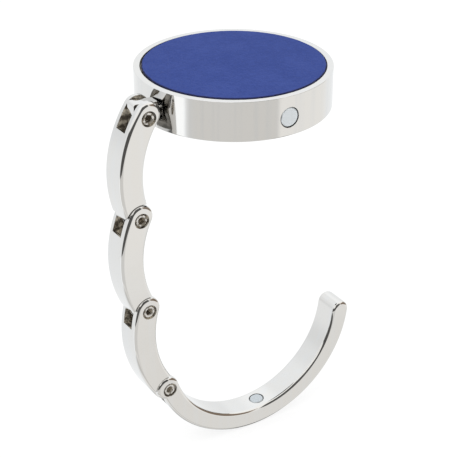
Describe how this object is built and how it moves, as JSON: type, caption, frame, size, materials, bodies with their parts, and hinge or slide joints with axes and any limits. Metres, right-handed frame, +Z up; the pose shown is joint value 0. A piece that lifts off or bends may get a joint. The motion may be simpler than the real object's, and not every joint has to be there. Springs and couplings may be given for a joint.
{
  "type": "purse hook",
  "caption": "Folding table-top purse hook: a plated disc with a round inlay and rubber grip pad carries a swivelling, hinged chain of curved links ending in a curved bow that hangs a bag.",
  "frame": {"origin": "middle of the grip pad's lower face, the face that stands on the table", "axes": "+Z up along the disc's axis, the swivel and the chain on the -X side, the bow's mouth open towards +X, the rim magnet towards -Y"},
  "size_m": [0.0574, 0.04, 0.0858],
  "materials": {
    "plating": "mirror-polished nickel plate",
    "leatherette": "fine-grained leatherette, satin",
    "magnet": "satin nickel plate",
    "steel": "bare steel",
    "rubber": "matt, finely pebbled",
    "film": "thin bonding film"
  },
  "bodies": {
    "disc": {"disc_body": "plating", "inlay_film": "film", "inlay": "leatherette", "cover_plate": "steel", "grip_pad_film": "film", "grip_pad": "rubber", "rim_magnet": "magnet"},
    "swivel": {"swivel_block": "plating", "swivel_washer": "steel", "swivel_nut": "steel"},
    "first_link": {"link_1": "plating", "hinge_pin_1": "plating"},
    "second_link": {"link_2": "plating", "hinge_pin_2": "plating"},
    "third_link": {"link_3": "plating", "hinge_pin_3": "plating"},
    "bow": {"hook": "plating", "hinge_pin_4": "plating", "hook_magnet": "magnet"}
  },
  "joints": [
    {"name": "swivel_turn", "type": "hinge", "parent": "disc", "child": "swivel", "pos_m": [-0.02302, -0.00328, 0.0041], "axis": [1, 0, 0], "range_deg": [-90, 90]},
    {"name": "hinge_1", "type": "hinge", "parent": "swivel", "child": "first_link", "pos_m": [-0.02302, -0.00328, 0.0041], "axis": [0, -1, 0], "range_deg": [0, 25.3]},
    {"name": "hinge_2", "type": "hinge", "parent": "first_link", "child": "second_link", "pos_m": [-0.02526, -0.00328, -0.01716], "axis": [0, -1, 0], "range_deg": [0, 45.9]},
    {"name": "hinge_3", "type": "hinge", "parent": "second_link", "child": "third_link", "pos_m": [-0.02422, -0.00328, -0.03852], "axis": [0, -1, 0], "range_deg": [0, 45.9]},
    {"name": "hinge_4", "type": "hinge", "parent": "third_link", "child": "bow", "pos_m": [-0.01989, -0.00328, -0.05946], "axis": [0, -1, 0], "range_deg": [0, 20.3]}
  ]
}
